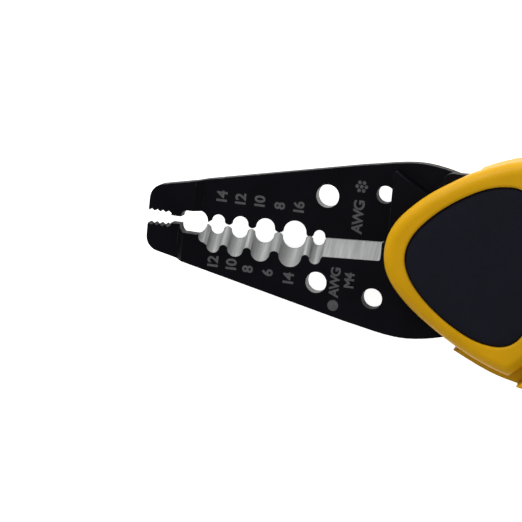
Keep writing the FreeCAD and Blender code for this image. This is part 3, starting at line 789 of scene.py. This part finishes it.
class WS_OT_markings(bpy.types.Operator):
    """Etch the wire gauge numbers and wire signs beside the stripping notches"""

    bl_idname = "wire_stripper.markings"
    bl_label = "Etch the markings"

    def execute(self, context):
        sizes = context.scene.stripper_sizes
        grey = etched_mark("etched_grey", context.scene.stripper_colours.etched)
        front_z = HALF + BLADE + MARK_LIFT
        rear_z = HALF - BLADE_GAP + MARK_LIFT
        tall = sizes.digit_height
        small = SMALL_TEXT * tall
        upper = [text_mark("upper_" + text, text, tall, (x, y), rear_z) for text, x, y in UPPER_GAUGES]
        upper.append(text_mark("upper_unit", "AWG", tall, UPPER_UNIT, rear_z))
        upper += strand_marks(STRAND_SIGN, rear_z)
        lower = [text_mark("lower_" + text, text, tall, (x, y), front_z) for text, x, y in LOWER_GAUGES]
        lower.append(text_mark("lower_unit", "AWG", small, LOWER_UNIT, front_z))
        lower.append(dot_mark("lower_solid", SOLID_DOT, SOLID_SIGN, front_z))
        lower.append(text_mark("thread_size", "M4", small, THREAD_SIZE, front_z))
        for name, body, marks in (("upper_jaw_marks", REAR, upper), ("lower_jaw_marks", FRONT, lower)):
            row = join_pieces(marks, name)
            settle(row, Matrix.Identity(4))
            finish_piece(row, body, "black_oxide_steel", grey)
        return {"FINISHED"}


class WS_OT_stage(bpy.types.Operator):
    """Lay the floor, the soft lights and the camera"""

    bl_idname = "wire_stripper.stage"
    bl_label = "Set the stage"

    def execute(self, context):
        deselect_all()
        bpy.ops.mesh.primitive_plane_add(size=4.0, location=(0, 0, -0.02 * MM))
        floor = bpy.context.object
        floor.name = "floor"
        s = Shader("floor_paper")
        tone = s.ramp(s.noise(8, 2), 0.3, 0.7)
        s.put(s.mix(tone, (0.93, 0.93, 0.93), (0.95, 0.95, 0.95)), s.surface.inputs["Base Color"])
        s.surface.inputs["Roughness"].default_value = 0.9
        s.surface.inputs["Emission Color"].default_value = (1, 1, 1, 1)
        s.surface.inputs["Emission Strength"].default_value = FLOOR_GLOW
        s.put(s.bump(s.noise(900, 3), 0.05, 0.05 * MM), s.surface.inputs["Normal"])
        floor.data.materials.append(s.material)

        for name, spot, size, power in LAMPS:
            bpy.ops.object.light_add(type="AREA", location=spot)
            lamp = bpy.context.object
            lamp.name = name
            lamp.data.size = size
            lamp.data.energy = power
            aim = Vector(LAMP_TARGET) - Vector(spot)
            lamp.rotation_euler = aim.to_track_quat("-Z", "Y").to_euler()

        world = bpy.data.worlds.new("studio")
        world.use_nodes = True
        world.node_tree.nodes["Background"].inputs["Color"].default_value = (1, 1, 1, 1)
        world.node_tree.nodes["Background"].inputs["Strength"].default_value = SKY_STRENGTH
        context.scene.world = world
        context.scene.view_settings.view_transform = "Standard"

        bpy.ops.object.camera_add(location=(0, 0, 0))
        camera = bpy.context.object
        camera.name = "camera"
        camera.data.lens = CAMERA_LENS
        camera.data.sensor_width = 36
        camera.data.clip_start = 0.01
        eye = Vector(CAMERA_EYE) * MM + Vector((0, 0, HALF))
        target = Vector(CAMERA_TARGET) * MM + Vector((0, 0, HALF))
        back = (eye - target).normalized()
        right = Vector(CAMERA_RIGHT)
        right = (right - back * right.dot(back)).normalized()
        up = back.cross(right)
        turn = Matrix((right, up, back)).transposed().to_4x4()
        camera.matrix_world = Matrix.Translation(eye) @ turn
        context.scene.camera = camera
        return {"FINISHED"}


class WS_PT_sidebar(bpy.types.Panel):
    """Lists the sizes, colours and steps"""

    bl_label = "Wire stripper"
    bl_idname = "WS_PT_sidebar"
    bl_space_type = "VIEW_3D"
    bl_region_type = "UI"
    bl_category = "Wire Stripper"

    def draw(self, context):
        for group in (context.scene.stripper_sizes, context.scene.stripper_colours):
            for key in group.__annotations__:
                self.layout.prop(group, key)
        for operator in STEPS:
            self.layout.operator(operator.bl_idname)


STEPS = (
    WS_OT_blades,
    WS_OT_grips,
    WS_OT_hardware,
    WS_OT_thumb_pads,
    WS_OT_inlays,
    WS_OT_palm_strips,
    WS_OT_return_spring,
    WS_OT_markings,
    WS_OT_stage,
)
CLASSES = (StripperSizes, StripperColours, *STEPS, WS_PT_sidebar)


def register():
    for cls in CLASSES:
        bpy.utils.register_class(cls)
    bpy.types.Scene.stripper_sizes = bpy.props.PointerProperty(type=StripperSizes)
    bpy.types.Scene.stripper_colours = bpy.props.PointerProperty(type=StripperColours)


def unregister():
    del bpy.types.Scene.stripper_colours
    del bpy.types.Scene.stripper_sizes
    for cls in reversed(CLASSES):
        bpy.utils.unregister_class(cls)


def main():
    register()
    bpy.ops.wire_stripper.blades()
    bpy.ops.wire_stripper.grips()
    bpy.ops.wire_stripper.hardware()
    bpy.ops.wire_stripper.thumb_pads()
    bpy.ops.wire_stripper.inlays()
    bpy.ops.wire_stripper.palm_strips()
    bpy.ops.wire_stripper.return_spring()
    bpy.ops.wire_stripper.markings()
    bpy.ops.wire_stripper.stage()


if __name__ == "__main__":
    main()
